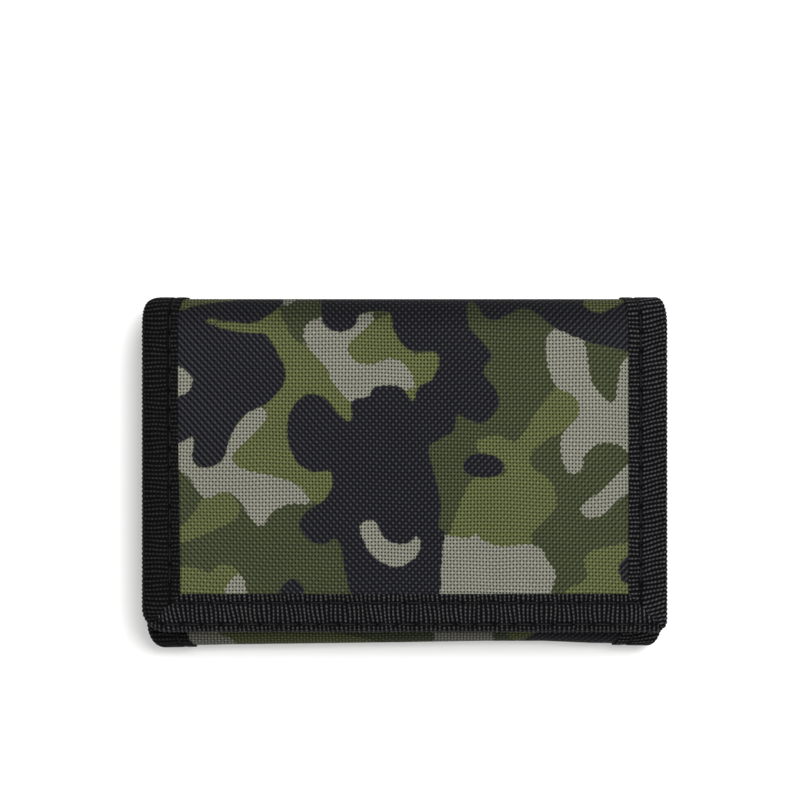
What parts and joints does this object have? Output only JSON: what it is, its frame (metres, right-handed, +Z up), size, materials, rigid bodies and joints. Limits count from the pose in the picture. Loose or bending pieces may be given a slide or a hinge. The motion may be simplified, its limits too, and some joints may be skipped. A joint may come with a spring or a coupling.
{
  "type": "trifold wallet",
  "caption": "Folded fabric trifold wallet with taped edges, a hook-and-loop flap, card pockets, an identity window and a zipped coin pocket.",
  "frame": {"origin": "centre of the closed wallet's footprint, on the surface it lies on", "axes": "+X across the wallet, +Y towards the fold that the front flap turns on, +Z up through the folded stack"},
  "size_m": [0.13, 0.0874, 0.0154],
  "materials": {
    "camo_oxford": "plain weave oxford, printed camouflage, semi-matt",
    "grosgrain": "ribbed grosgrain tape, soft sheen",
    "lining_cloth": "fine plain weave lining",
    "loop_tape": "soft loop pile",
    "hook_tape": "moulded hooks",
    "clear_pvc": "clear flexible film",
    "zip_tape": "woven zip tape",
    "zip_coil": "nylon coil",
    "zip_metal": "black painted die casting"
  },
  "bodies": {
    "back_panel": {"back_binding_left": "grosgrain", "back_binding_right": "grosgrain", "back_lining": "lining_cloth", "back_lining_edge": "grosgrain", "back_shell": "camo_oxford", "card_pocket_1": "lining_cloth", "card_pocket_2": "lining_cloth", "card_pocket_3": "lining_cloth", "card_pocket_edge_1": "grosgrain", "card_pocket_edge_2": "grosgrain", "card_pocket_edge_3": "grosgrain"},
    "top_fold": {"top_fold_binding_left": "grosgrain", "top_fold_binding_right": "grosgrain", "top_fold_lining": "lining_cloth", "top_fold_shell": "camo_oxford"},
    "front_flap": {"coin_pocket": "lining_cloth", "flap_binding_end": "grosgrain", "flap_binding_left": "grosgrain", "flap_binding_right": "grosgrain", "flap_lining": "lining_cloth", "flap_lining_edge": "grosgrain", "flap_shell": "camo_oxford", "hook_patch": "hook_tape", "zip_coil_lower": "zip_coil", "zip_coil_upper": "zip_coil", "zip_stop_left": "zip_metal", "zip_stop_right": "zip_metal", "zip_tape_lower": "zip_tape", "zip_tape_upper": "zip_tape"},
    "bottom_fold": {"bottom_fold_binding_left": "grosgrain", "bottom_fold_binding_right": "grosgrain", "bottom_fold_lining": "lining_cloth", "bottom_fold_shell": "camo_oxford"},
    "inner_panel": {"id_window": "clear_pvc", "inner_binding_end": "grosgrain", "inner_binding_left": "grosgrain", "inner_binding_right": "grosgrain", "inner_lining": "lining_cloth", "inner_lining_edge": "grosgrain", "inner_shell": "camo_oxford", "loop_patch": "loop_tape", "window_frame": "lining_cloth"},
    "zip_slider": {"zip_slider": "zip_metal"},
    "zip_puller": {"zip_puller": "zip_metal"}
  },
  "joints": [
    {"name": "flap_open", "type": "hinge", "parent": "back_panel", "child": "top_fold", "pos_m": [0, 0.0433, 0.0006], "axis": [-1, 0, 0], "range_deg": [0, 90]},
    {"name": "flap_turn", "type": "hinge", "parent": "top_fold", "child": "front_flap", "pos_m": [0, 0.0433, 0.01465], "axis": [-1, 0, 0], "range_deg": [0, 90]},
    {"name": "inner_open", "type": "hinge", "parent": "back_panel", "child": "bottom_fold", "pos_m": [0, -0.0433, 0.0006], "axis": [1, 0, 0], "range_deg": [0, 45]},
    {"name": "inner_turn", "type": "hinge", "parent": "bottom_fold", "child": "inner_panel", "pos_m": [0, -0.0433, 0.00795], "axis": [1, 0, 0], "range_deg": [0, 45]},
    {"name": "zip_run", "type": "slide", "parent": "front_flap", "child": "zip_slider", "axis": [-1, 0, 0], "range_m": [0, 0.082]},
    {"name": "puller_swing", "type": "hinge", "parent": "zip_slider", "child": "zip_puller", "pos_m": [0.0449, 0.032, 0.00855], "axis": [0, -1, 0], "range_deg": [0, 16]}
  ],
  "couplings": [
    {"joint": "flap_turn", "follows": "flap_open", "ratio": 1},
    {"joint": "inner_open", "follows": "flap_open", "ratio": 0.5},
    {"joint": "inner_turn", "follows": "flap_open", "ratio": 0.5}
  ]
}
